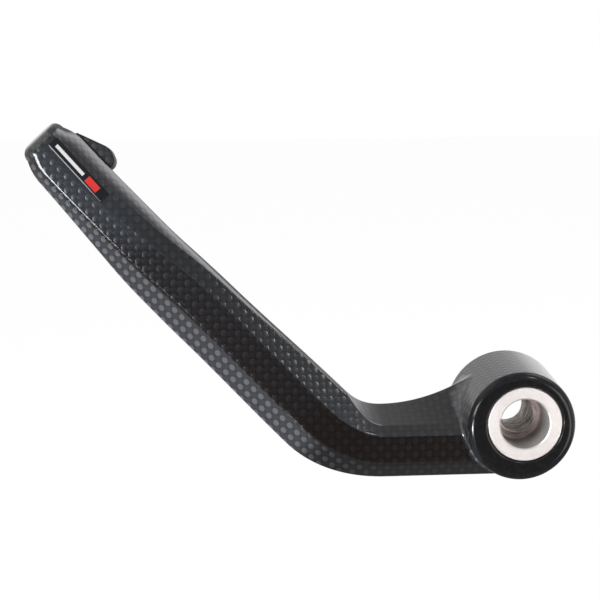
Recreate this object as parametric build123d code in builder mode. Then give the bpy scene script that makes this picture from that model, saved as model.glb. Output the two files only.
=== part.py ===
"""Brake lever guard: a moulded carbon arm with a round hub, and the turned insert bonded in the hub.

The hub's axis is Y. The inboard seat lies at y = 0 and the outboard face at y = -hub_length. The neck
leaves the hub towards -X, and after the bend the arm rises and sweeps inboard to a squared tip.
"""

import os
from math import cos, radians, sin, tan

from build123d import *

# Turned insert
insert_diameter = 22.0
insert_recess = 0.4
insert_chamfer = 0.15
counterbore_diameter = 14.8
counterbore_depth = 13.6
bolt_bore_diameter = 10.2
bore_chamfer = 0.4

# Hub of the moulding, drafted so that it is larger on the inboard side
hub_length = 30.0
hub_outboard_diameter = 32.0
hub_inboard_diameter = 34.8
hub_set_back = 0.8
hub_set_down = 0.85
hub_rim_round = 2.4
hub_seat_chamfer = 0.8
bond_line = 0.1
lip_chamfer = 0.6
hub_blend = 2.2

# Route of the arm's middle line in its side view, from the hub's axis to the tip
neck_run = 52.1
bend_radius = 30.0
rise_angle = 43.6
long_run = 77.5
tip_angle = 47.4
tip_run = 47.7
kick_radius = 160.0

# Inboard sweep of the rising arm
neck_setback = 5.0
sweep_slope = 0.285
sweep_start = 44.0
sweep_ease = 24.0

# Section of the neck, and the web that arcs up from its crest into the hub
neck_width = 19.7
neck_lift = 0.5
neck_thickness = 20.0
neck_lower_bevel = 4.2
neck_lower_depth = 2.8
neck_upper_bevel = 2.6
neck_upper_depth = 2.6
neck_top_rise = 4.2
neck_top_depth = 11.5
web_start = 40.0
web_height = 13.0

# Section at the end of the bend
bend_width = 23.4
bend_thickness = 18.0
bend_lower_bevel = 7.0
bend_lower_depth = 4.5
bend_upper_bevel = 6.8
bend_upper_depth = 3.0
bend_top_rise = 0.8
bend_top_depth = 4.0

# Section halfway along the rising arm
mid_at = 105.0
mid_width = 22.0
mid_thickness = 15.0
mid_lower_bevel = 7.0
mid_lower_depth = 4.5
mid_upper_bevel = 4.4
mid_upper_depth = 1.8
mid_top_rise = 1.0
mid_top_depth = 3.0

# Section at the tip, whose upper edge is one broad facet
tip_width = 18.0
tip_thickness = 14.0
tip_lower_bevel = 2.5
tip_lower_depth = 2.6
tip_upper_bevel = 5.0
tip_upper_depth = 0.4
tip_top_rise = 5.3
tip_top_depth = 5.5
tip_round = 3.0
tip_corner_drop = 1.8
tip_corner_lift = 1.6
tip_corner_run = 4.4
tip_corner_power = 1.25

# Edges of every section
front_corner_count = 5
back_corner_count = 4
back_bevel = 3.0
edge_round = 1.0
back_round = 1.2
section_count = 20
corner_section_count = 5
tip_section_count = 4

# Lug behind the tip
lug_from_tip = 7.4
lug_length = 15.1
lug_height = 4.3
lug_nose = 4.6
lug_nose_height = 2.6
lug_root = 3.0
lug_depth = 9.5
lug_thickness = 5.0
lug_round = 1.8

outboard_radius = hub_outboard_diameter / 2
inboard_radius = hub_inboard_diameter / 2
neck_hub_radius = outboard_radius + (inboard_radius - outboard_radius) * neck_setback / hub_length
neck_bottom = neck_lift - hub_set_down - neck_hub_radius
neck_middle = neck_bottom + neck_width / 2

bend_corner = (-neck_run, neck_middle)
kick_corner = (
    bend_corner[0] - long_run * cos(radians(rise_angle)),
    bend_corner[1] + long_run * sin(radians(rise_angle)),
)
tip_end = (
    kick_corner[0] - tip_run * cos(radians(tip_angle)),
    kick_corner[1] + tip_run * sin(radians(tip_angle)),
)
with BuildLine(Plane.XZ) as arm_line:
    FilletPolyline(
        (0, neck_middle),
        bend_corner,
        kick_corner,
        tip_end,
        radius=[bend_radius, kick_radius],
    )
route = arm_line.wires()[0]
bend_start = neck_run - bend_radius * tan(radians(rise_angle / 2))
bend_end = bend_start + bend_radius * radians(rise_angle)
tip_start = route.length - tip_round
corner_start = tip_start - tip_corner_run

neck_sizes = (
    neck_width,
    neck_thickness,
    neck_lower_bevel,
    neck_lower_depth,
    neck_upper_bevel,
    neck_upper_depth,
    neck_top_rise,
    neck_top_depth,
)
bend_sizes = (
    bend_width,
    bend_thickness,
    bend_lower_bevel,
    bend_lower_depth,
    bend_upper_bevel,
    bend_upper_depth,
    bend_top_rise,
    bend_top_depth,
)
mid_sizes = (
    mid_width,
    mid_thickness,
    mid_lower_bevel,
    mid_lower_depth,
    mid_upper_bevel,
    mid_upper_depth,
    mid_top_rise,
    mid_top_depth,
)
tip_sizes = (
    tip_width,
    tip_thickness,
    tip_lower_bevel,
    tip_lower_depth,
    tip_upper_bevel,
    tip_upper_depth,
    tip_top_rise,
    tip_top_depth,
)
key_sections = [
    (0, neck_sizes),
    (bend_start, neck_sizes),
    (bend_end, bend_sizes),
    (mid_at, mid_sizes),
    (tip_start, tip_sizes),
]


def front_depth(along):
    """The y of the arm's front face at a length along the route."""
    run = along - sweep_start
    if run <= 0:
        swept = 0
    elif run < sweep_ease:
        swept = run * run / (2 * sweep_ease)
    else:
        swept = run - sweep_ease / 2
    return neck_setback - hub_length + sweep_slope * swept


def section_plane(along):
    """A plane across the route: x runs up the section, and y runs inboard from the front face."""
    place = route.position_at(along, position_mode=PositionMode.LENGTH)
    heading = route.tangent_at(along, position_mode=PositionMode.LENGTH)
    upward = Vector(0, 1, 0).cross(heading)
    return Plane((place.X, front_depth(along), place.Z), x_dir=upward, z_dir=heading)


def sizes_at(along):
    """The section's sizes at a length along the route, eased from one key section to the next."""
    for (start, start_sizes), (end, end_sizes) in zip(key_sections, key_sections[1:]):
        if along <= end:
            share = (along - start) / (end - start)
            eased = share * share * (3 - 2 * share)
            return [a + (b - a) * eased for a, b in zip(start_sizes, end_sizes)]
    return tip_sizes


def web_rise(along):
    """How far the web lifts the crest at a length along the neck: nothing at its start, most at the hub's axis."""
    share = max(1 - along / web_start, 0)
    return web_height * share * share


def corner_share(along):
    """How much of its cut corners' fall the tip has at a length along the route, from 0 to 1."""
    run = max(along - corner_start, 0)
    return (run / tip_corner_run) ** tip_corner_power


def section_corners(along):
    """The section's corners, from the lower front edge round by the front, the top and the back."""
    width, thickness, low, low_depth, up, up_depth, top, top_depth = sizes_at(along)
    bottom = -width / 2 + tip_corner_lift * corner_share(along)
    shoulder = width / 2 - top
    crest = width / 2 + web_rise(along) - tip_corner_drop * corner_share(along)
    return [
        (bottom, low_depth),
        (bottom + low, 0),
        (shoulder - up, 0),
        (shoulder, up_depth),
        (crest, up_depth + top_depth),
        (crest, thickness - back_bevel),
        (crest - back_bevel, thickness),
        (bottom + back_bevel, thickness),
        (bottom, thickness - back_bevel),
    ]


corner_rounds = [edge_round] * front_corner_count + [back_round] * back_corner_count

with BuildPart() as guard_arm:
    # The arm, through evenly spaced sections: first up to the tip's cut corners, and then past them
    for start, end, count in (
        (0, corner_start, section_count),
        (corner_start, tip_start, corner_section_count),
    ):
        for index in range(count):
            along = start + (end - start) * index / (count - 1)
            with BuildSketch(section_plane(along)):
                with BuildLine():
                    FilletPolyline(*section_corners(along), radius=corner_rounds, close=True)
                make_face()
        loft()

    # The squared tip's rounded end, through shrinking sections
    for index in range(tip_section_count):
        turn = radians(90 * index / (tip_section_count - 1))
        along = tip_start + tip_round * sin(turn)
        shrink = 1 - tip_round * (1 - cos(turn)) / (tip_width / 2)
        middle = tip_thickness / 2
        corners = [(u * shrink, middle + (v - middle) * shrink) for u, v in section_corners(tip_start)]
        with BuildSketch(section_plane(along)):
            with BuildLine():
                FilletPolyline(*corners, radius=[r * shrink for r in corner_rounds], close=True)
            make_face()
    loft()

    # The lug, a wedge that rises from the crest behind the tip and ends in a round nose
    lug_start = section_plane(route.length - lug_from_tip)
    lug_heading = Vector(-lug_start.z_dir.X, -sweep_slope, -lug_start.z_dir.Z)
    lug_origin = lug_start.from_local_coords(Vector(tip_width / 2, lug_depth, 0))
    with BuildSketch(Plane(lug_origin, x_dir=lug_heading, z_dir=lug_heading.cross(lug_start.x_dir))):
        with BuildLine():
            FilletPolyline(
                (0, 0),
                (lug_length - lug_nose, lug_height),
                (lug_length, lug_nose_height),
                (lug_length, -lug_root),
                (0, -lug_root),
                radius=[0, lug_round, lug_round, 0, 0],
                close=True,
            )
        make_face()
    extrude(amount=lug_thickness / 2, both=True)

    # The hub, turned about its axis, and a blend round the hole that the neck makes in its wall
    hub_plane = Plane((-hub_set_back, 0, -hub_set_down))
    with BuildSketch(hub_plane):
        with BuildLine():
            FilletPolyline(
                (0, -hub_length),
                (outboard_radius, -hub_length),
                (inboard_radius, -hub_seat_chamfer),
                (inboard_radius - hub_seat_chamfer, 0),
                (0, 0),
                radius=[0, hub_rim_round, 0, 0, 0],
                close=True,
            )
        make_face()
    revolve(axis=Axis(hub_plane.origin, hub_plane.y_dir))
    hub_wall = guard_arm.faces().filter_by(GeomType.CONE).sort_by(SortBy.AREA)[-1]
    fillet(hub_wall.inner_wires()[0].edges(), radius=hub_blend)

    # The bore that takes the insert, with a chamfered lip outboard
    with BuildSketch(Plane.XZ):
        Circle(insert_diameter / 2 + bond_line)
    extrude(amount=hub_length, mode=Mode.SUBTRACT)
    outboard_face = guard_arm.faces().sort_by(Axis.Y)[0]
    chamfer(outboard_face.inner_wires()[0].edges(), length=lip_chamfer)

with BuildPart() as hub_insert:
    # Turned from bar: a flat inboard seat, a counterbore outboard and a smaller bore right through
    insert_face = insert_recess - hub_length
    with BuildSketch():
        with BuildLine():
            Polyline(
                (bolt_bore_diameter / 2, 0),
                (insert_diameter / 2, 0),
                (insert_diameter / 2, insert_face),
                (counterbore_diameter / 2, insert_face),
                (counterbore_diameter / 2, insert_face + counterbore_depth),
                (bolt_bore_diameter / 2, insert_face + counterbore_depth),
                close=True,
            )
        insert_profile = make_face()
        outer_corners = insert_profile.vertices().group_by(Axis.X)[-1]
        mouth_corner = insert_profile.vertices().group_by(Axis.X)[1].sort_by(Axis.Y)[0]
        chamfer(outer_corners, length=insert_chamfer)
        chamfer(mouth_corner, length=bore_chamfer)
    revolve(axis=Axis.Y)

os.makedirs("parts", exist_ok=True)
for name, piece in (("guard_arm", guard_arm), ("hub_insert", hub_insert)):
    piece.part.label = name
    export_step(piece.part, f"parts/{name}.step")
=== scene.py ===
"""Brake lever guard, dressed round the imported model.

The hub's axis is Y. The neck leaves the hub towards -X, and the arm rises to the squared tip. Sizes are in
millimetres, as on the part's drawing, and each finished mesh is scaled to the frame's metres.
"""

from math import asin, atan2, cos, hypot, pi, radians, sin, tan

import bmesh
import bpy
from mathutils import Matrix, Vector


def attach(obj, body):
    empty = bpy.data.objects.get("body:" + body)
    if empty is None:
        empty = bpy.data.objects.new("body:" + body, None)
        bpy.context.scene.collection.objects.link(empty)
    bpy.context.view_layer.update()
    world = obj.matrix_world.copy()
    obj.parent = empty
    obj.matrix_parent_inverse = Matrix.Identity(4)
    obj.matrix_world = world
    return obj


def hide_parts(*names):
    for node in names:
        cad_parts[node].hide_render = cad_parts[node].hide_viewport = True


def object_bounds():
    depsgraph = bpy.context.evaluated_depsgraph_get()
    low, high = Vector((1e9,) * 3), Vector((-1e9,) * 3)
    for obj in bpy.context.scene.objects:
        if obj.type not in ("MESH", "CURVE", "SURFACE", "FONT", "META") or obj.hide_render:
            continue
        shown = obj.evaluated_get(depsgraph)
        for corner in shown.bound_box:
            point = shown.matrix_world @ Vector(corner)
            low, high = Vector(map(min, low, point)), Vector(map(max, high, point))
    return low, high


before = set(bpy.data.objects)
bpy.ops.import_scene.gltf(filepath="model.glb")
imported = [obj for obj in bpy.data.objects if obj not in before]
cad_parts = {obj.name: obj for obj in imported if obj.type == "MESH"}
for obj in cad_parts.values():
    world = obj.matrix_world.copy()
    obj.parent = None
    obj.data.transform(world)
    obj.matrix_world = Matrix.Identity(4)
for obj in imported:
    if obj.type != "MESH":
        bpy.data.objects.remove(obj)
cad_low, cad_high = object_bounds()

# Guard arm
# The real arm is a plain-weave carbon laminate, cured in a two-part mould and sealed under clear gloss.
# Its bevelled section follows one line: along the neck, round the bend and up to the tip.
hub_length = 30.0
hub_outboard_radius = 16.0
hub_inboard_radius = 17.4
seat_round = 0.8
hub_centre = Vector((-0.8, 0, -0.85))
neck_setback = 5.0
neck_width = 19.7
neck_lift = 0.5
hub_draft = (hub_inboard_radius - hub_outboard_radius) / (hub_length - seat_round)
neck_bottom = hub_centre.z - hub_outboard_radius - hub_draft * neck_setback + neck_lift
neck_middle = neck_bottom + neck_width / 2

neck_run = 52.1
bend_radius = 30.0
rise_angle = radians(43.6)
long_run = 77.5
kick_radius = 160.0
kick_angle = radians(3.8)
tip_run = 47.7
bend_cut = bend_radius * tan(rise_angle / 2)
kick_cut = kick_radius * tan(kick_angle / 2)
route_legs = [
    (neck_run - bend_cut, 0),
    (bend_radius * rise_angle, rise_angle),
    (long_run - bend_cut - kick_cut, 0),
    (kick_radius * kick_angle, kick_angle),
    (tip_run - kick_cut, 0),
]
route_length = sum(length for length, turn in route_legs)
bend_start = route_legs[0][0]
bend_end = bend_start + route_legs[1][0]

tip_round = 3.0
tip_start = route_length - tip_round
tip_corner_run = 6.5
tip_corner_power = 1.9
tip_corner_drop = 1.8
tip_corner_lift = 1.6
corner_start = tip_start - tip_corner_run

sweep_slope = 0.285
sweep_start = 44.0
sweep_ease = 24.0
web_start = 40.0
web_height = 17.5
back_bevel = 3.0
front_edge_round = 1.0
lower_edge_round = 3.0
back_edge_round = 1.2
edge_steps = 4
front_corner = 3
facet_corner = 5
facet_steps = 6
mid_along = 105.0
tip_width = 18.0
tip_thickness = 14.0

neck_section = {
    "width": neck_width, "thickness": 20.0, "low": 4.2, "low_depth": 2.8,
    "up": 2.6, "up_depth": 2.6, "top": 4.2, "top_depth": 11.5, "fall": 0.9, "crown": 0.0,
}
bend_section = {
    "width": 23.4, "thickness": 18.0, "low": 7.0, "low_depth": 4.5,
    "up": 6.8, "up_depth": 3.0, "top": 0.3, "top_depth": 1.2, "fall": 1.4, "crown": 0.0,
}
mid_section = {
    "width": 22.0, "thickness": 15.0, "low": 7.0, "low_depth": 4.5,
    "up": 4.4, "up_depth": 1.8, "top": 1.3, "top_depth": 2.4, "fall": 1.0, "crown": 0.05,
}
tip_section = {
    "width": tip_width, "thickness": tip_thickness, "low": 2.5, "low_depth": 2.6,
    "up": 5.0, "up_depth": 0.4, "top": 5.3, "top_depth": 5.5, "fall": 0.4, "crown": 0.4,
}
key_sections = [
    (0, neck_section),
    (bend_start, neck_section),
    (bend_end, bend_section),
    (mid_along, mid_section),
    (tip_start, tip_section),
]


def route_at(along):
    """The arm's middle line at a length from the hub's axis: its x, its z and the angle of its climb."""
    x, z, climb = 0, neck_middle, 0
    for length, turn in route_legs:
        run = min(along, length)
        if turn:
            radius = length / turn
            turned = climb + run / radius
            x -= radius * (sin(turned) - sin(climb))
            z += radius * (cos(climb) - cos(turned))
            climb = turned
        else:
            x -= run * cos(climb)
            z += run * sin(climb)
        along -= run
    return x, z, climb


def front_depth(along):
    """The y of the arm's front face, which sweeps inboard after the bend."""
    run = along - sweep_start
    if run <= 0:
        swept = 0
    elif run < sweep_ease:
        swept = run * run / (2 * sweep_ease)
    else:
        swept = run - sweep_ease / 2
    return neck_setback - hub_length + sweep_slope * swept


def on_section(along, up, depth):
    """The point at a length along the arm, a height on its section and a depth behind its front face."""
    x, z, climb = route_at(along)
    return Vector((x + up * sin(climb), front_depth(along) + depth, z + up * cos(climb)))


def sizes_at(along):
    """The section's sizes, eased from one key section to the next."""
    for (start, sizes), (end, next_sizes) in zip(key_sections, key_sections[1:]):
        if along <= end:
            share = (along - start) / (end - start)
            eased = share * share * (3 - 2 * share)
            return {name: size + (next_sizes[name] - size) * eased for name, size in sizes.items()}
    return tip_section


def section_corners(along):
    """Corners as (height, depth, round), from the lower back edge by the front to the upper back edge."""
    sizes = sizes_at(along)
    web = web_height * max(1 - along / web_start, 0) ** 2
    cut = (max(along - corner_start, 0) / tip_corner_run) ** tip_corner_power
    bottom = -sizes["width"] / 2 + tip_corner_lift * cut
    shoulder = sizes["width"] / 2 - sizes["top"]
    crest = sizes["width"] / 2 + web - tip_corner_drop * cut
    return [
        (bottom + back_bevel, sizes["thickness"], back_edge_round),
        (bottom, sizes["thickness"] - back_bevel, back_edge_round),
        (bottom, sizes["low_depth"], front_edge_round),
        (bottom + sizes["low"], 0, lower_edge_round),
        (shoulder - sizes["up"], 0, front_edge_round),
        (shoulder, sizes["up_depth"], front_edge_round),
        (crest, sizes["up_depth"] + sizes["top_depth"], front_edge_round),
        (crest - sizes["fall"], sizes["thickness"] - back_bevel, back_edge_round),
        (crest - sizes["fall"] - back_bevel, sizes["thickness"], back_edge_round),
    ]


def section_outline(along):
    """The rounded section as (height, depth) points, drawn in to its middle over the tip's rounded end."""
    corners = section_corners(min(along, tip_start))
    end_turn = asin(min(max(along - tip_start, 0) / tip_round, 1))
    shrink = 1 - tip_round * (1 - cos(end_turn)) / (tip_width / 2)
    middle = Vector((0, tip_thickness / 2))
    arcs = []
    for index, (up, depth, edge_round) in enumerate(corners):
        corner = Vector((up, depth))
        before = (Vector(corners[index - 1][:2]) - corner).normalized()
        after = (Vector(corners[(index + 1) % len(corners)][:2]) - corner).normalized()
        half = before.angle(after) / 2
        centre = corner + (before + after).normalized() * edge_round / sin(half)
        first = corner + before * edge_round / tan(half) - centre
        last = corner + after * edge_round / tan(half) - centre
        shares = [step / edge_steps for step in range(edge_steps + 1)]
        spokes = [first.lerp(last, share).normalized() * edge_round for share in shares]
        arcs.append([centre + spoke for spoke in spokes])
    start, end = arcs[facet_corner][-1], arcs[facet_corner + 1][0]
    outwards = Vector((end.y - start.y, start.x - end.x)).normalized()
    for step in range(1, facet_steps):
        share = step / facet_steps
        crown = 4 * sizes_at(min(along, tip_start))["crown"] * share * (1 - share)
        arcs[facet_corner].append(start.lerp(end, share) + outwards * crown)
    return [middle + (point - middle) * shrink for arc in arcs for point in arc]


def weave_places(along, outline):
    """Where an outline's points lie on the cloth, unrolled from the middle of the front face.

    The first point comes again at the end, where the cloth closes.
    """
    rolled = [0]
    for point, following in zip(outline, outline[1:] + outline[:1]):
        rolled.append(rolled[-1] + (following - point).length)
    front_edge = (front_corner + 1) * (edge_steps + 1) - 1
    front_zero = rolled[front_edge] - outline[front_edge].x
    heights = [length - front_zero for length in rolled]
    x, z, climb = route_at(along)
    return [Vector((x + sin(climb) * height, z + cos(climb) * height)) for height in heights]


ring_size = len(section_outline(0))
arm_mesh = bmesh.new()
ring_place = arm_mesh.verts.layers.int.new("ring_place")
cloth_u = arm_mesh.verts.layers.float.new("cloth_u")
cloth_v = arm_mesh.verts.layers.float.new("cloth_v")
seam_u = arm_mesh.verts.layers.float.new("seam_u")
seam_v = arm_mesh.verts.layers.float.new("seam_v")


def lay_ring(verts, points, cloth):
    """Puts a ring's vertices in place, and keeps with each its place on the cloth."""
    for vert in verts:
        place = vert[ring_place]
        vert.co = points[place]
        vert[cloth_u], vert[cloth_v] = cloth[place]
        vert[seam_u], vert[seam_v] = cloth[ring_size]


def verts_of(items):
    """The vertices among what an operator gives back."""
    return {item for item in items if isinstance(item, bmesh.types.BMVert)}


def edges_of(items):
    """The edges among what an operator gives back."""
    return [item for item in items if isinstance(item, bmesh.types.BMEdge)]


def next_ring(mesh, edges):
    """Extrudes a ring of edges, and gives the new ring's vertices and edges."""
    grown = bmesh.ops.extrude_edge_only(mesh, edges=edges)["geom"]
    verts = verts_of(grown)
    return verts, [edge for edge in edges_of(grown) if verts.issuperset(edge.verts)]


def section_point(along, place):
    """One place of the arm's section, as a point."""
    return on_section(along, *section_outline(along)[place])


def hub_radius_at(y):
    """The radius of the hub's drafted wall."""
    return hub_outboard_radius + hub_draft * (y + hub_length)


def hub_spoke(point):
    """The direction from the hub's axis straight out to a point."""
    return Vector((point.x - hub_centre.x, 0, point.z - hub_centre.z)).normalized()


def on_hub_wall(point, sink):
    """The place of the hub's wall that lies next to a point, sunk some way into the wall."""
    return hub_centre + hub_spoke(point) * (hub_radius_at(point.y) - sink) + Vector((0, point.y, 0))


def outside_hub(along, place):
    """How far a place of the neck's section lies outside the hub's wall."""
    point = section_point(along, place)
    return hypot(point.x - hub_centre.x, point.z - hub_centre.z) - hub_radius_at(point.y)


# The neck runs into the hub's wall in a hollow blend. Each place of the section has its own meeting point,
# found by halving, and a rolling round's two tangent points: one on the neck and one on the wall. The round
# is larger under the crest, and it stops short of the hub's seat.
blend_round = 2.2
crest_round = 9.0
crest_from, crest_to = 0.0, 7.0
blend_steps = 10
blend_sink = 0.05
blend_inboard = -1.6
meeting_search = (1.0, 34.0)
meeting_halvings = 30
meetings = []
for place in range(ring_size):
    inside, outside = meeting_search
    for halving in range(meeting_halvings):
        middle = (inside + outside) / 2
        if outside_hub(middle, place) < 0:
            inside = middle
        else:
            outside = middle
    meetings.append(inside)
meeting_points = [section_point(along, place) for place, along in enumerate(meetings)]
meeting_middle = sum(meeting_points, Vector()) / ring_size
neck_tangents = []
wall_tangents = []
for place, point in enumerate(meeting_points):
    along = meetings[place]
    neck_way = (section_point(along + 1, place) - point).normalized()
    seam_way = (meeting_points[(place + 1) % ring_size] - meeting_points[place - 1]).normalized()
    spoke = hub_spoke(point)
    wall_normal = Vector((spoke.x, -hub_draft, spoke.z)).normalized()
    wall_way = wall_normal.cross(seam_way).normalized()
    if wall_way.dot(point - meeting_middle) < 0:
        wall_way.negate()
    across = neck_way - seam_way * neck_way.dot(seam_way)
    crest_share = min(max((point.z - crest_from) / (crest_to - crest_from), 0), 1)
    rolled_round = blend_round + (crest_round - blend_round) * crest_share
    reach = rolled_round / tan(across.angle(wall_way) / 2)
    if wall_way.y > 0:
        reach = min(reach, (blend_inboard - point.y) / wall_way.y)
    neck_tangents.append(along + reach / across.length)
    wall_tangents.append(on_hub_wall(point + wall_way * reach, blend_sink))

# The rings of the arm: the closed root inside the hub's wall, the blend, the neck and the rest of the arm.
root_depth = 1.6
root_cuts = 7
fan_end = 31.0
fan_steps = 14
ring_pitch = 1.3
corner_rings = 5
tip_rings = 7


def neck_ring(alongs):
    """A ring whose places have their own lengths along the neck, with its places on the cloth."""
    points = []
    cloth = []
    for place, along in enumerate(alongs):
        outline = section_outline(along)
        points.append(on_section(along, *outline[place]))
        cloth.append(weave_places(along, outline)[place])
    cloth.append(weave_places(alongs[0], section_outline(alongs[0]))[ring_size])
    return points, cloth


tangent_points, tangent_cloth = neck_ring(neck_tangents)
blend_rings = []
for step in range(blend_steps + 1):
    share = step / blend_steps
    points = []
    cloth = []
    for place in range(ring_size):
        start, meeting, end = tangent_points[place], meeting_points[place], wall_tangents[place]
        points.append(start.lerp(meeting, share).lerp(meeting.lerp(end, share), share))
        run = (meeting - start).length * share + (end - meeting).length * share * share
        cloth.append(tangent_cloth[place] + Vector((run, 0)))
    cloth.append(tangent_cloth[ring_size] + Vector(((cloth[0] - tangent_cloth[0]).x, 0)))
    blend_rings.insert(0, (points, cloth))
root_points = [point - hub_spoke(point) * root_depth for point in wall_tangents]
rings = [(root_points, blend_rings[0][1])] + blend_rings
for step in range(1, fan_steps + 1):
    rings.append(neck_ring([along + (fan_end - along) * step / fan_steps for along in neck_tangents]))
straight_rings = round((corner_start - fan_end) / ring_pitch)
arm_stations = [fan_end + (corner_start - fan_end) * (i + 1) / straight_rings for i in range(straight_rings)]
arm_stations += [corner_start + tip_corner_run * (i + 1) / corner_rings for i in range(corner_rings)]
arm_stations += [tip_start + tip_round * sin(pi / 2 * (i + 1) / tip_rings) for i in range(tip_rings)]
for along in arm_stations:
    outline = section_outline(along)
    rings.append(([on_section(along, *point) for point in outline], weave_places(along, outline)))

first_ring = bmesh.ops.create_circle(arm_mesh, segments=ring_size, radius=1)["verts"]
for place, vert in enumerate(first_ring):
    vert[ring_place] = place
lay_ring(first_ring, *rings[0])
edges = arm_mesh.edges[:]
root_edges = edges
for points, cloth in rings[1:]:
    verts, edges = next_ring(arm_mesh, edges)
    lay_ring(verts, points, cloth)
bmesh.ops.edgeloop_fill(arm_mesh, edges=edges)
root_faces = bmesh.ops.triangle_fill(arm_mesh, edges=root_edges, use_beauty=True)["geom"]
root_chords = [edge for edge in edges_of(root_faces) if edge not in root_edges]
divided = bmesh.ops.subdivide_edges(arm_mesh, edges=root_chords, cuts=root_cuts)["geom_inner"]
for vert in verts_of(divided):
    vert.co = on_hub_wall(vert.co, root_depth)
bmesh.ops.recalc_face_normals(arm_mesh, faces=arm_mesh.faces)

cloth_map = arm_mesh.loops.layers.uv.new("cloth")
mm = 0.001
for face in arm_mesh.faces:
    places = [loop.vert[ring_place] for loop in face.loops]
    crosses_seam = max(places) - min(places) > ring_size / 2
    for loop in face.loops:
        vert = loop.vert
        if crosses_seam and vert[ring_place] == 0:
            loop[cloth_map].uv = (vert[seam_u] * mm, vert[seam_v] * mm)
        else:
            loop[cloth_map].uv = (vert[cloth_u] * mm, vert[cloth_v] * mm)


def finished(name, mesh):
    """A bmesh drawn in millimetres, as a smooth object in the frame's metres."""
    bmesh.ops.scale(mesh, vec=(mm, mm, mm), verts=mesh.verts)
    for face in mesh.faces:
        face.smooth = True
    data = bpy.data.meshes.new(name)
    mesh.to_mesh(data)
    mesh.free()
    piece = bpy.data.objects.new(name, data)
    bpy.context.scene.collection.objects.link(piece)
    return piece


class Shade:
    """A socket in a tree of nodes. Arithmetic on it adds Math nodes, and make() adds any other node."""

    def __init__(self, tree, socket=None):
        self.tree = tree
        self.socket = socket

    def make(self, kind, settings=None, sockets=None, output=0):
        """Adds a node, sets its settings and then its sockets, and gives one of its outputs."""
        node = self.tree.nodes.new(kind)
        for name, value in (settings or {}).items():
            if name == "stops":
                ramp = node.color_ramp
                while len(ramp.elements) < len(value):
                    ramp.elements.new(1)
                for element, (position, colour) in zip(ramp.elements, value):
                    element.position = position
                    element.color = colour
            else:
                setattr(node, name, value)
        for name, value in (sockets or {}).items():
            if isinstance(value, Shade):
                self.tree.links.new(value.socket, node.inputs[name])
            else:
                node.inputs[name].default_value = value
        return Shade(self.tree, node.outputs[output])

    def maths(self, operation, *values):
        """A Math node on values, which may be numbers or other sockets."""
        return self.make("ShaderNodeMath", {"operation": operation}, dict(enumerate(values)))

    def ease(self, low, high):
        """This value taken smoothly from 0 at low to 1 at high."""
        sockets = {"Value": self, "From Min": low, "From Max": high}
        return self.make("ShaderNodeMapRange", {"interpolation_type": "SMOOTHSTEP"}, sockets)

    def axis(self, index):
        """One of this vector's three numbers."""
        return self.make("ShaderNodeSeparateXYZ", None, {"Vector": self}, index)

    def colours(self, first, second):
        """A colour between two, by this value."""
        sockets = {"Factor": self, 6: first, 7: second}
        return self.make("ShaderNodeMix", {"data_type": "RGBA"}, sockets, 2)

    def __add__(self, other):
        return self.maths("ADD", self, other)

    def __radd__(self, other):
        return self.maths("ADD", other, self)

    def __sub__(self, other):
        return self.maths("SUBTRACT", self, other)

    def __rsub__(self, other):
        return self.maths("SUBTRACT", other, self)

    def __mul__(self, other):
        return self.maths("MULTIPLY", self, other)

    def __rmul__(self, other):
        return self.maths("MULTIPLY", other, self)

    def __truediv__(self, other):
        return self.maths("DIVIDE", self, other)

    def __rtruediv__(self, other):
        return self.maths("DIVIDE", other, self)


def finish_of(name):
    """A new material: the material, a start for its nodes, and its shader's sockets by name."""
    material = bpy.data.materials.new(name)
    material.use_nodes = True
    shader = material.node_tree.nodes["Principled BSDF"]
    return material, Shade(material.node_tree), shader.inputs


def join(value, socket):
    """Links a value to a shader's socket."""
    value.tree.links.new(value.socket, socket)


tow_pitch = 2.05 * mm
upright_halves = (0.45, 0.54)
level_halves = (0.55, 0.44)
upright_edge = 0.35
level_edge = 0.4
level_crown = 0.5
bevel_lean = (0.58, 0.68)
bevel_run = (42, 66)
bare_tip_run = (100, 116)
tow_level = (0.04, 0.04, 0.042, 1)
resin_dark = (0.03, 0.03, 0.032, 1)
# Painted sheen: the upright tows' colour is set by how far each face looks along one fixed way, brightest
# where it looks down and to the left.
painted_sheen_way = Vector((0.8, 0.0, 0.6))
painted_sheen_stops = [
    (0.19, (0.17, 0.17, 0.175, 1)),
    (0.34, (0.06, 0.06, 0.062, 1)),
    (0.48, (0.057, 0.056, 0.057, 1)),
    (0.54, (0.062, 0.062, 0.064, 1)),
    (0.78, (0.044, 0.044, 0.046, 1)),
]


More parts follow.
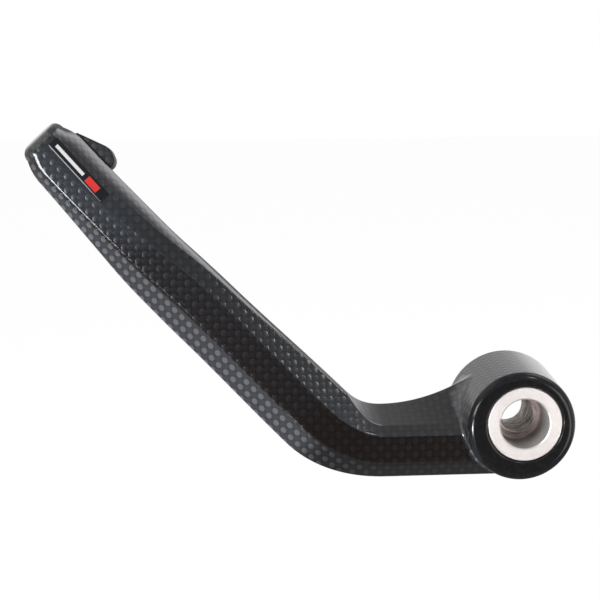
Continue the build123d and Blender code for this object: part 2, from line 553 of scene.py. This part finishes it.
def carbon_finish(name, coat, coat_roughness, tow_roughness, tow_crown, levelled):
    """Plain-weave carbon cloth in resin: upright tows show as bright ovals between the darker level ones.

    The upright tows carry a painted sheen: their ovals are brightest on faces that look down and to the
    left, and fade on faces that look up, by each face's turn against one fixed way. The coat lies thickest
    down the middle of the arm, where it levels out a share of the tows' crowns, and thinnest at the tip and
    along the upper bevel.
    """
    material, start, shader = finish_of(name)
    cloth = start.make("ShaderNodeUVMap", {"uv_map": "cloth"})
    u = cloth.axis(0) / tow_pitch
    v = cloth.axis(1) / tow_pitch
    column = u.maths("FLOOR", u)
    row = v.maths("FLOOR", v)
    across = u - column - 0.5
    along = v - row - 0.5

    def dome(half_width, half_height):
        """An oval crown on each square of the cloth, from 1 at its top to 0 at its edge and beyond."""
        crown = 1 - across * across / half_width ** 2 - along * along / half_height ** 2
        return crown.maths("MAXIMUM", crown, 0)

    upright = u.maths("FLOORED_MODULO", column + row, 2)
    upright_dome = dome(*upright_halves) * upright
    level_dome = dome(*level_halves) * (1 - upright)
    lean = start.make("ShaderNodeAttribute", {"attribute_name": "lean"}, None, "Fac")
    # The painted sheen: the upright tows' colour follows each face's turn towards one fixed way.
    painted_sheen_colour = start.make("ShaderNodeValToRGB", {"stops": painted_sheen_stops}, {"Fac": lean})
    base = level_dome.ease(0, level_edge).colours(resin_dark, tow_level)
    base = upright_dome.ease(0, upright_edge).colours(base, painted_sheen_colour)
    join(base, shader["Base Color"])

    outward = start.make("ShaderNodeTexCoord", None, None, "Object").axis(0) / -mm
    upper_bevel = lean.ease(*bevel_lean) * outward.ease(*bevel_run)
    thin_coat = u.maths("MAXIMUM", upper_bevel, outward.ease(*bare_tip_run))
    crowns = (upright_dome + level_dome * level_crown) * (1 - levelled + thin_coat * levelled)
    sockets = {"Strength": 1.0, "Distance": tow_crown, "Height": crowns}
    join(start.make("ShaderNodeBump", None, sockets), shader["Normal"])
    shader["Metallic"].default_value = 1.0
    shader["Roughness"].default_value = tow_roughness
    shader["Coat Weight"].default_value = coat
    shader["Coat Roughness"].default_value = coat_roughness
    return material


def keep_lean(mesh):
    """Keeps with each vertex how far it looks along the painted sheen's way: 0 is away from it, 1 is towards
    it.
    """
    looks = [Vector() for vert in mesh.vertices]
    for face in mesh.polygons:
        for index in face.vertices:
            looks[index] += face.normal * face.area
    lean = mesh.attributes.new("lean", "FLOAT", "POINT")
    for value, look in zip(lean.data, looks):
        value.value = look.normalized().dot(painted_sheen_way) * 0.5 + 0.5


gloss_carbon = carbon_finish(
    "gloss_carbon", coat=1.0, coat_roughness=0.04, tow_roughness=0.23, tow_crown=0.06 * mm, levelled=0.55
)

# Hub of the moulding
# The round boss at the arm's foot, laid up and cured in one with the arm, and drafted larger inboard.
# Its bore is trimmed through for the insert, with a rounded lip on the outboard side.
rim_round = 2.4
bore_radius = 11.1
lip_round = 0.8
round_steps = 8
hub_steps = 160
wall_rings = 24
weld_distance = 0.0005
lip_margin = 0.1
flat_look = 0.7
wall_lay = Matrix.Rotation(radians(45), 2)
trimmed_rim = -0.25
rim_slot, wall_slot = 1, 2
face_weight = 50
draft_angle = atan2(hub_draft, 1)

hub_mesh = bmesh.new()


def turn_profile(mesh, profile, steps):
    """Turns a profile of (radius, y) points, closed by its first point, about the hub's axis."""
    verts = [mesh.verts.new((radius, y, 0)) for radius, y in profile + profile[:1]]
    line = [mesh.edges.new(pair) for pair in zip(verts, verts[1:])]
    bmesh.ops.spin(
        mesh, geom=verts + line, cent=(0, 0, 0), axis=(0, 1, 0), angle=2 * pi, steps=steps, use_merge=True
    )
    bmesh.ops.remove_doubles(mesh, verts=mesh.verts, dist=weld_distance)


def arc_points(centre, radius, start, end, steps):
    """Points of an arc as (radius, y), between two angles measured from outwards towards +Y."""
    turns = [start + (end - start) * step / steps for step in range(steps + 1)]
    return [(centre[0] + radius * cos(turn), centre[1] + radius * sin(turn)) for turn in turns]


rim_y = rim_round - hub_length
rim_centre = (hub_radius_at(rim_y) - rim_round / cos(draft_angle), rim_y)
seat_centre = (hub_radius_at(-seat_round) - seat_round / cos(draft_angle), -seat_round)
lip_centre = (bore_radius + lip_round, lip_round - hub_length)
rim_arc = arc_points(rim_centre, rim_round, -pi / 2, -draft_angle, round_steps)
seat_arc = arc_points(seat_centre, seat_round, -draft_angle, pi / 2, round_steps)
lip_arc = arc_points(lip_centre, lip_round, -pi, -pi / 2, round_steps)
wall_start, wall_end = Vector(rim_arc[-1]), Vector(seat_arc[0])
wall_points = [tuple(wall_start.lerp(wall_end, i / wall_rings)) for i in range(1, wall_rings)]
hub_profile = rim_arc + wall_points + seat_arc + [(bore_radius, 0)] + lip_arc
turn_profile(hub_mesh, hub_profile, hub_steps)
lip_edge = bore_radius + lip_round + lip_margin
outer_verts = [vert for vert in hub_mesh.verts if hypot(vert.co.x, vert.co.z) > lip_edge]
bmesh.ops.translate(hub_mesh, vec=hub_centre, verts=outer_verts)
bmesh.ops.recalc_face_normals(hub_mesh, faces=hub_mesh.faces)

cloth_map = hub_mesh.loops.layers.uv.new("cloth")
for face in hub_mesh.faces:
    face.material_index = rim_slot if face.normal.y < trimmed_rim else wall_slot
    flat = abs(face.normal.y) > flat_look
    middle = face.calc_center_median() - hub_centre
    middle_turn = atan2(middle.z, middle.x)
    for loop in face.loops:
        spoke = loop.vert.co - hub_centre
        if flat:
            lay = Vector((loop.vert.co.x, loop.vert.co.z))
        else:
            turn = atan2(spoke.z, spoke.x)
            turn += 2 * pi * round((middle_turn - turn) / (2 * pi))
            lay = wall_lay @ Vector((turn * hub_outboard_radius, spoke.y))
        loop[cloth_map].uv = lay * mm

rim_dark = (0.010, 0.010, 0.011, 1)
rim_scuffed = (0.018, 0.018, 0.019, 1)
scuff_limits = (0.4, 0.8)
rim_roughness = 0.16
scuff_roughness = 0.12
rim_black, start, shader = finish_of("rim_black")
place = start.make("ShaderNodeTexCoord", None, None, "Object")
scuffs = start.make("ShaderNodeTexNoise", None, {"Vector": place, "Scale": 700.0, "Detail": 5.0})
join(scuffs.ease(*scuff_limits).colours(rim_dark, rim_scuffed), shader["Base Color"])
join(rim_roughness + scuffs * scuff_roughness, shader["Roughness"])
shader["Specular IOR Level"].default_value = 0.1
shader["Coat Weight"].default_value = 0.25
shader["Coat Roughness"].default_value = 0.06

wall_carbon = carbon_finish(
    "wall_carbon", coat=0.8, coat_roughness=0.12, tow_roughness=0.3, tow_crown=0.07 * mm, levelled=0
)

hub_blank = finished("hub_blank", hub_mesh)
arm_blank = finished("arm_blank", arm_mesh)
for blank in (arm_blank, hub_blank):
    for finish in (gloss_carbon, rim_black, wall_carbon):
        blank.data.materials.append(finish)
union = arm_blank.modifiers.new("union", "BOOLEAN")
union.operation = "UNION"
union.solver = "EXACT"
union.object = hub_blank
bpy.context.view_layer.update()
depsgraph = bpy.context.evaluated_depsgraph_get()
moulding_data = bpy.data.meshes.new_from_object(arm_blank.evaluated_get(depsgraph))
keep_lean(moulding_data)
moulding = bpy.data.objects.new("carbon_moulding", moulding_data)
bpy.context.scene.collection.objects.link(moulding)
for blank in (arm_blank, hub_blank):
    bpy.data.objects.remove(blank)


def even_shading(piece):
    """Weights a piece's normals by the size of its faces, so that the flats stay flat beside the rounds."""
    modifier = piece.modifiers.new("even_shading", "WEIGHTED_NORMAL")
    modifier.weight = face_weight


even_shading(moulding)
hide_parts("guard_arm")
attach(moulding, "root")

# Lug behind the tip
# A small wedge of the same laminate, moulded on behind the tip's crest, and left with a duller skin.
# It rises to a round nose that points back along the arm.
lug_from_tip = 7.4
lug_length = 15.1
lug_height = 4.3
lug_nose = 4.6
lug_nose_height = 2.6
lug_root = 3.0
lug_depth = 9.5
lug_thickness = 5.0
lug_round = 1.8
lug_edge_round = 0.5
nose_segments = 6
edge_segments = 3
across_look = 0.9
nose_start = 1.0
sharp_turn = radians(60)

lug_along = route_length - lug_from_tip
lug_climb = route_at(lug_along)[2]
lug_origin = on_section(lug_along, tip_width / 2, lug_depth)
lug_heading = Vector((cos(lug_climb), -sweep_slope, -sin(lug_climb))).normalized()
lug_up = Vector((sin(lug_climb), 0, cos(lug_climb)))
lug_side = lug_heading.cross(lug_up)
lug_mesh = bmesh.new()
lug_outline = [
    (0, 0),
    (lug_length - lug_nose, lug_height),
    (lug_length, lug_nose_height),
    (lug_length, -lug_root),
    (0, -lug_root),
]
lug_verts = [lug_mesh.verts.new(lug_origin + lug_heading * x + lug_up * z) for x, z in lug_outline]
lug_face = lug_mesh.faces.new(lug_verts)
lug_wall = bmesh.ops.extrude_face_region(lug_mesh, geom=[lug_face])["geom"]
bmesh.ops.translate(lug_mesh, vec=lug_side * lug_thickness, verts=list(verts_of(lug_wall)))
bmesh.ops.translate(lug_mesh, vec=lug_side * -lug_thickness / 2, verts=lug_mesh.verts)
bmesh.ops.recalc_face_normals(lug_mesh, faces=lug_mesh.faces)


def round_edges(mesh, edges, offset, segments):
    """Rounds some of a mesh's edges over."""
    bmesh.ops.bevel(
        mesh, geom=edges, offset=offset, offset_type="OFFSET", affect="EDGES",
        segments=segments, profile=0.5, material=-1,
    )


def sharp_edges(mesh):
    """The edges of a mesh whose faces turn sharply."""
    return [edge for edge in mesh.edges if edge.calc_face_angle(0) > sharp_turn]


nose_edges = []
for edge in lug_mesh.edges:
    way = (edge.verts[1].co - edge.verts[0].co).normalized()
    place = (edge.verts[0].co - lug_origin).dot(lug_heading)
    rise = (edge.verts[0].co - lug_origin).dot(lug_up)
    if abs(way.dot(lug_side)) > across_look and place > nose_start and rise > 0:
        nose_edges.append(edge)
round_edges(lug_mesh, nose_edges, lug_round, nose_segments)
round_edges(lug_mesh, sharp_edges(lug_mesh), lug_edge_round, edge_segments)
cloth_map = lug_mesh.loops.layers.uv.new("cloth")
for face in lug_mesh.faces:
    for loop in face.loops:
        loop[cloth_map].uv = (loop.vert.co.x * mm, loop.vert.co.z * mm)
lug = finished("tip_lug", lug_mesh)
keep_lean(lug.data)
dull_carbon = carbon_finish(
    "dull_carbon", coat=0.12, coat_roughness=0.35, tow_roughness=0.5, tow_crown=0.05 * mm, levelled=0
)
lug.data.materials.append(dull_carbon)
even_shading(lug)
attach(lug, "root")

# Hub insert
# A bush turned from aluminium bar and bonded into the hub. It has a smooth counterbore outboard for a
# bolt's head, and a rougher, ridged bore right through behind it.
insert_radius = 11.0
insert_face = -29.6
insert_chamfer = 0.15
counterbore_radius = 7.4
counterbore_floor = -16.0
mouth_chamfer = 0.4
bolt_bore_radius = 5.1
ridge_pitch = 1.0
ridge_depth = 0.14
ridge_shape = [(0.0, 0.0), (0.0, 0.35), (ridge_depth, 0.55), (ridge_depth, 0.8)]
insert_steps = 128
insert_sharp_turn = radians(30)

insert_mesh = bmesh.new()
ridge_count = int(-counterbore_floor / ridge_pitch)
ridge_line = []
for ridge in range(ridge_count):
    top = counterbore_floor + ridge * ridge_pitch
    for depth, share in ridge_shape:
        ridge_line.append((bolt_bore_radius + depth, top + ridge_pitch * share))
insert_profile = [
    (insert_radius - insert_chamfer, 0),
    (insert_radius, -insert_chamfer),
    (insert_radius, insert_face + insert_chamfer),
    (insert_radius - insert_chamfer, insert_face),
    (counterbore_radius + mouth_chamfer, insert_face),
    (counterbore_radius, insert_face + mouth_chamfer),
    (counterbore_radius, counterbore_floor),
] + ridge_line + [(bolt_bore_radius, 0)]
turn_profile(insert_mesh, insert_profile, insert_steps)
bmesh.ops.recalc_face_normals(insert_mesh, faces=insert_mesh.faces)
insert = finished("hub_insert_bush", insert_mesh)
insert.data.set_sharp_from_angle(angle=insert_sharp_turn)

tool_feed = 0.12 * mm
tool_relief = 0.1
streak_turn = 1.3
streak_pitch = 0.19 * mm
streak_relief = 10
relief_height = 0.02 * mm
bore_limit = (bolt_bore_radius + 0.5) * mm
wall_limit = (counterbore_radius + 0.2) * mm
mouth_limit = (insert_face + 0.6) * mm
step_limit = (counterbore_floor - 0.2) * mm
soft_edge = 0.2 * mm
# The counterbore wall is painted darker with depth, as painted shade, over the next run.
painted_shade_reach = 12 * mm
mottle_limits = (0.35, 0.7)
bore_limits = (0.40, 0.58)
step_limits = (0.38, 0.62)
metal_bright = (0.90, 0.87, 0.85, 1)
metal_worn = (0.86, 0.83, 0.81, 1)
# The next colour is painted shade, for the deep counterbore wall.
wall_painted_shade = (0.30, 0.28, 0.27, 1)
# The next two colours are the bore's streaks of painted shade and painted highlight along its ridges.
bore_painted_shade = (0.035, 0.03, 0.028, 1)
bore_painted_highlight = (0.95, 0.88, 0.80, 1)
# The next two colours are the counterbore's floor: painted darker as shade in the recess, with pale turned
# streaks.
step_painted_shade = (0.22, 0.18, 0.165, 1)
step_pale = (0.72, 0.60, 0.55, 1)
metal_roughness = 0.40
mottle_roughness = 0.08
bore_roughness = 0.1

turned_metal, start, shader = finish_of("turned_aluminium")
place = start.make("ShaderNodeTexCoord", None, None, "Object")
x, y, z = place.axis(0), place.axis(1), place.axis(2)
radius = x.maths("SQRT", x * x + z * z)
turn = x.maths("ARCTAN2", z, x)
tool_marks = x.maths("SINE", (radius + y) * (2 * pi / tool_feed))
streak_place = {0: turn * streak_turn, 1: y / streak_pitch, 2: radius / streak_pitch}
streak_place = start.make("ShaderNodeCombineXYZ", None, streak_place)
sockets = {"Vector": streak_place, "Scale": 1.0, "Detail": 5.0, "Roughness": 0.7}
streaks = start.make("ShaderNodeTexNoise", None, sockets)
mottle = start.make("ShaderNodeTexNoise", None, {"Vector": place, "Scale": 500.0, "Detail": 3.0})
in_bore = (bore_limit - radius).ease(0, soft_edge)
off_face = (y - mouth_limit).ease(0, soft_edge) * (wall_limit - radius).ease(0, soft_edge / 2)
on_step = (y - step_limit).ease(0, soft_edge) * (wall_limit - radius).ease(0, soft_edge)
# Painted shade: the counterbore wall darkens with depth from its mouth.
painted_depth_shade = (y - mouth_limit).ease(0, painted_shade_reach) * off_face
metal = mottle.ease(*mottle_limits).colours(metal_bright, metal_worn)
metal = painted_depth_shade.colours(metal, wall_painted_shade)
# The counterbore's floor: turned streaks, painted darker as shade.
metal = on_step.colours(metal, streaks.ease(*step_limits).colours(step_painted_shade, step_pale))
# The bore: streaks of painted shade and painted highlight.
metal = in_bore.colours(metal, streaks.ease(*bore_limits).colours(bore_painted_shade, bore_painted_highlight))
join(metal, shader["Base Color"])
join(metal_roughness + mottle * mottle_roughness + in_bore * bore_roughness, shader["Roughness"])
relief = tool_marks * tool_relief + in_bore * streaks * streak_relief
sockets = {"Strength": 1.0, "Distance": relief_height, "Height": relief}
join(start.make("ShaderNodeBump", None, sockets), shader["Normal"])
shader["Metallic"].default_value = 1.0
insert.data.materials.append(turned_metal)
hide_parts("hub_insert")
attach(insert, "root")

# Tip badge
# A thin gloss plate bonded along the upper edge of the tip's front face, with plain fields of colour.
# It bends with the face and sinks a little way into it.
badge_from_tip = 3.4
badge_length = 22.6
badge_low = 0.5
badge_high = 4.3
badge_proud = 0.5
badge_sunk = 0.5
badge_corner = 0.8
badge_edge = 0.12
badge_ramp = 0.45
badge_ramp_fall = 0.13
badge_rings = 16
badge_side_count = 5
badge_corner_segments = 5
badge_sharp_turn = radians(8)

badge_mesh = bmesh.new()
badge_place = badge_mesh.verts.layers.int.new("badge_place")


def badge_points(along):
    """The plate's corners across the arm, from its sloped lower front edge up and round the back."""
    sizes = sizes_at(along)
    band_low = sizes["width"] / 2 - sizes["top"] - sizes["up"]
    profile = [
        (badge_low, badge_proud - badge_ramp_fall),
        (badge_low + badge_ramp, badge_proud),
        (badge_high, badge_proud),
        (badge_high, -badge_sunk),
        (badge_low, -badge_sunk),
    ]
    corners = []
    for up, lift in profile:
        depth = max(up - band_low, 0) * sizes["up_depth"] / sizes["up"] - lift
        corners.append(on_section(along, up, depth))
    return corners


badge_along = route_length - badge_from_tip
badge_alongs = [badge_along - badge_length * i / badge_rings for i in range(badge_rings + 1)]
badge_verts = bmesh.ops.create_circle(badge_mesh, segments=badge_side_count, radius=1)["verts"]
for place, vert in enumerate(badge_verts):
    vert[badge_place] = place
    vert.co = badge_points(badge_alongs[0])[place]
edges = badge_mesh.edges[:]
badge_ends = list(edges)
for along in badge_alongs[1:]:
    verts, edges = next_ring(badge_mesh, edges)
    for vert in verts:
        vert.co = badge_points(along)[vert[badge_place]]
badge_ends += edges
bmesh.ops.edgeloop_fill(badge_mesh, edges=badge_ends)
bmesh.ops.recalc_face_normals(badge_mesh, faces=badge_mesh.faces)
upright_pairs = ({2, 3}, {0, 4})
corner_edges = [edge for edge in badge_ends if {vert[badge_place] for vert in edge.verts} in upright_pairs]
round_edges(badge_mesh, corner_edges, badge_corner, badge_corner_segments)
round_edges(badge_mesh, sharp_edges(badge_mesh), badge_edge, edge_segments)
badge_map = badge_mesh.loops.layers.uv.new("badge")
badge_start = on_section(badge_alongs[0], badge_low, 0)
badge_end = on_section(badge_alongs[-1], badge_low, 0)
badge_way = (badge_end - badge_start).normalized()
badge_rise = (on_section(badge_alongs[0], badge_high, 0) - badge_start).normalized()
for face in badge_mesh.faces:
    for loop in face.loops:
        offset = loop.vert.co - badge_start
        run_share = offset.dot(badge_way) / badge_length
        rise_share = offset.dot(badge_rise) / (badge_high - badge_low)
        loop[badge_map].uv = (run_share, rise_share)
badge = finished("tip_badge", badge_mesh)
badge.data.set_sharp_from_angle(angle=badge_sharp_turn)

badge_black = (0.005, 0.005, 0.006, 1)
badge_white = (0.80, 0.80, 0.80, 1)
badge_red = (0.75, 0.035, 0.03, 1)
white_field = (0.08, 0.62, 0.36, 0.66)
red_field = (0.68, 0.9, 0.22, 0.8)
field_edge_u, field_edge_v = 0.005, 0.03
badge_gloss, start, shader = finish_of("badge_gloss")
badge_uv = start.make("ShaderNodeUVMap", {"uv_map": "badge"})
u, v = badge_uv.axis(0), badge_uv.axis(1)


def field(low_u, high_u, low_v, high_v):
    """A block of the badge's face with a soft edge, as 1 inside and 0 outside."""
    inside_u = (u - low_u).ease(0, field_edge_u) * (high_u - u).ease(0, field_edge_u)
    return inside_u * (v - low_v).ease(0, field_edge_v) * (high_v - v).ease(0, field_edge_v)


paint = field(*white_field).colours(badge_black, badge_white)
paint = field(*red_field).colours(paint, badge_red)
join(paint, shader["Base Color"])
shader["Roughness"].default_value = 0.12
shader["Specular IOR Level"].default_value = 0.35
badge.data.materials.append(badge_gloss)
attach(badge, "root")

# Studio
# A pale floor under the guard, and a white room that the gloss mirrors as a studio. One soft lamp overhead
# lights it. Four more show as highlights: left, right, above in front and at the hub's foot.
scene = bpy.context.scene
scene.view_settings.view_transform = "Standard"

floor_drop = 0.12
floor_width = 3.0
floor_front, floor_back = -0.3, 2.5
floor_pale = (0.95, 0.95, 0.95, 1)
floor_white = (1, 1, 1, 1)
floor_glow = 0.88
floor_mesh = bmesh.new()
bmesh.ops.create_grid(floor_mesh, x_segments=1, y_segments=1, size=0.5)
bmesh.ops.scale(floor_mesh, vec=(floor_width, floor_back - floor_front, 1), verts=floor_mesh.verts)
floor_place = (0, (floor_front + floor_back) / 2, cad_low[2] - floor_drop)
bmesh.ops.translate(floor_mesh, vec=floor_place, verts=floor_mesh.verts)
floor_data = bpy.data.meshes.new("floor")
floor_mesh.to_mesh(floor_data)
floor_mesh.free()
floor = bpy.data.objects.new("floor", floor_data)
scene.collection.objects.link(floor)
floor_paint = bpy.data.materials.new("floor_paint")
floor_paint.use_nodes = True
start = Shade(floor_paint.node_tree)


def rays(start, kind):
    """A value that is 1 for rays of one kind and 0 for the rest."""
    return start.make("ShaderNodeLightPath", None, None, kind)


seen = start.maths("MAXIMUM", rays(start, "Is Camera Ray"), rays(start, "Is Glossy Ray"))
seen = start.maths("MAXIMUM", seen, rays(start, "Is Transmission Ray"))
pale = start.make("ShaderNodeBsdfDiffuse", None, {"Color": floor_pale})
white = start.make("ShaderNodeEmission", None, {"Color": floor_white, "Strength": 1.0})
surface = start.make("ShaderNodeMixShader", None, {0: seen * floor_glow, 1: pale, 2: white})
join(surface, start.tree.nodes["Material Output"].inputs["Surface"])
floor.data.materials.append(floor_paint)
floor.visible_glossy = False

world = bpy.data.worlds.new("white_room")
scene.world = world
world.use_nodes = True
start = Shade(world.node_tree)
room_white = (1, 1, 1, 1)
room_shade = (0.62, 0.62, 0.63, 1)
room_above = (0.5, 0.5, 0.51, 1)
room_left = (1.2, 1.2, 1.22, 1)
room_below = (0.3, 0.3, 0.31, 1)
room_below_left = (0.93, 0.96, 1.03, 1)
room_glow = (3.6, 3.6, 3.7, 1)
room_fill = (0.9, 0.9, 0.9, 1)
front_stops = [
    (0.0, (0.16, 0.12, 0.11, 1)),
    (0.245, (0.16, 0.125, 0.12, 1)),
    (0.268, (0.64, 0.74, 0.86, 1)),
    (0.65, (0.38, 0.39, 0.40, 1)),
]
horizon_right = (-0.12, 0.34)
horizon_height, horizon_fade = 0.3, 0.2
ceiling_left = (0.3, 0.55)
ceiling_up = (0.35, 0.6)
front_limits = (0.4, 0.7)
below_left = (0.45, 0.65)
below_down = (0.25, 0.5)
glow_back = (-0.45, 0.45)
glow_end, glow_fade = 0.6, 0.2
glow_right = (0.2, 0.45)
glow_up = (0.5, 0.72)
way = start.make("ShaderNodeTexCoord", None, None, "Generated")
right, back, up = way.axis(0), way.axis(1), way.axis(2)
left, front, down = 0 - right, 0 - back, 0 - up
front_wall = start.make("ShaderNodeValToRGB", {"stops": front_stops}, {"Fac": up})
bright_horizon = right.ease(*horizon_right) * (horizon_height - up).ease(0, horizon_fade)
horizon = bright_horizon.colours(room_shade, room_white)
ceiling = left.ease(*ceiling_left).colours(room_above, room_left)
back_wall = up.ease(*ceiling_up).colours(horizon, ceiling)
walls = front.ease(*front_limits).colours(back_wall, front_wall)
below = left.ease(*below_left).colours(room_below, room_below_left)
room_seen = down.ease(*below_down).colours(walls, below)
glow_rise = back.ease(*glow_back)
glow = glow_rise * glow_rise * (glow_end - back).ease(0, glow_fade)
glow = glow * right.ease(*glow_right) * up.ease(*glow_up)
room_seen = glow.colours(room_seen, room_glow)
mirrored = start.maths("MAXIMUM", rays(start, "Is Glossy Ray"), rays(start, "Is Transmission Ray"))
room = mirrored.colours(room_fill, room_seen)
room = rays(start, "Is Camera Ray").colours(room, room_white)
join(room, start.tree.nodes["Background"].inputs["Color"])


def softbox(name, aim, way, distance, size, radiance, colour):
    """A soft lamp that faces the guard from one way, with its size in metres and its brightness as seen."""
    width, height = size
    lamp = bpy.data.lights.new(name, "AREA")
    lamp.shape = "RECTANGLE"
    lamp.size = width
    lamp.size_y = height
    lamp.energy = radiance * pi * width * height
    lamp.color = colour
    holder = bpy.data.objects.new(name, lamp)
    holder.location = aim + Vector(way).normalized() * distance
    holder.rotation_euler = (aim - holder.location).to_track_quat("-Z", "Y").to_euler()
    scene.collection.objects.link(holder)
    return holder


arm_middle = Vector((-0.06, -0.015, 0.03))
hub_foot = Vector((-0.018, -0.025, -0.006))
cool, plain, warm = (0.93, 0.97, 1), (1, 1, 1), (1, 0.97, 0.95)
top_softbox = softbox(
    "top_softbox", arm_middle, way=(0.56, 0.0, 0.82), distance=1.0, size=(0.6, 0.6), radiance=4.0,
    colour=plain,
)
left_softbox = softbox(
    "left_softbox", arm_middle, way=(-0.74, -0.65, 0.15), distance=1.0, size=(0.38, 0.28), radiance=16.0,
    colour=cool,
)
edge_softbox = softbox(
    "edge_softbox", arm_middle, way=(0.43, -0.575, 0.695), distance=1.0, size=(0.13, 0.13), radiance=16.0,
    colour=plain,
)
right_softbox = softbox(
    "right_softbox", arm_middle, way=(0.62, -0.75, -0.12), distance=1.0, size=(0.4, 0.7), radiance=4.5,
    colour=warm,
)
foot_softbox = softbox(
    "foot_softbox", hub_foot, way=(-0.70, -0.67, -0.22), distance=0.16, size=(0.05, 0.07), radiance=1.2,
    colour=cool,
)
foot_softbox.data.spread = radians(14)
top_softbox.visible_glossy = False
for highlight in (left_softbox, edge_softbox, right_softbox, foot_softbox):
    highlight.visible_diffuse = False

camera_data = bpy.data.cameras.new("camera")
camera_data.lens = 123.12
camera_data.sensor_width = 36
camera = bpy.data.objects.new("camera", camera_data)
camera.location = (-0.12689, -0.60564, 0.13499)
camera.rotation_euler = (radians(80.5), 0, radians(-6))
scene.collection.objects.link(camera)
scene.camera = camera
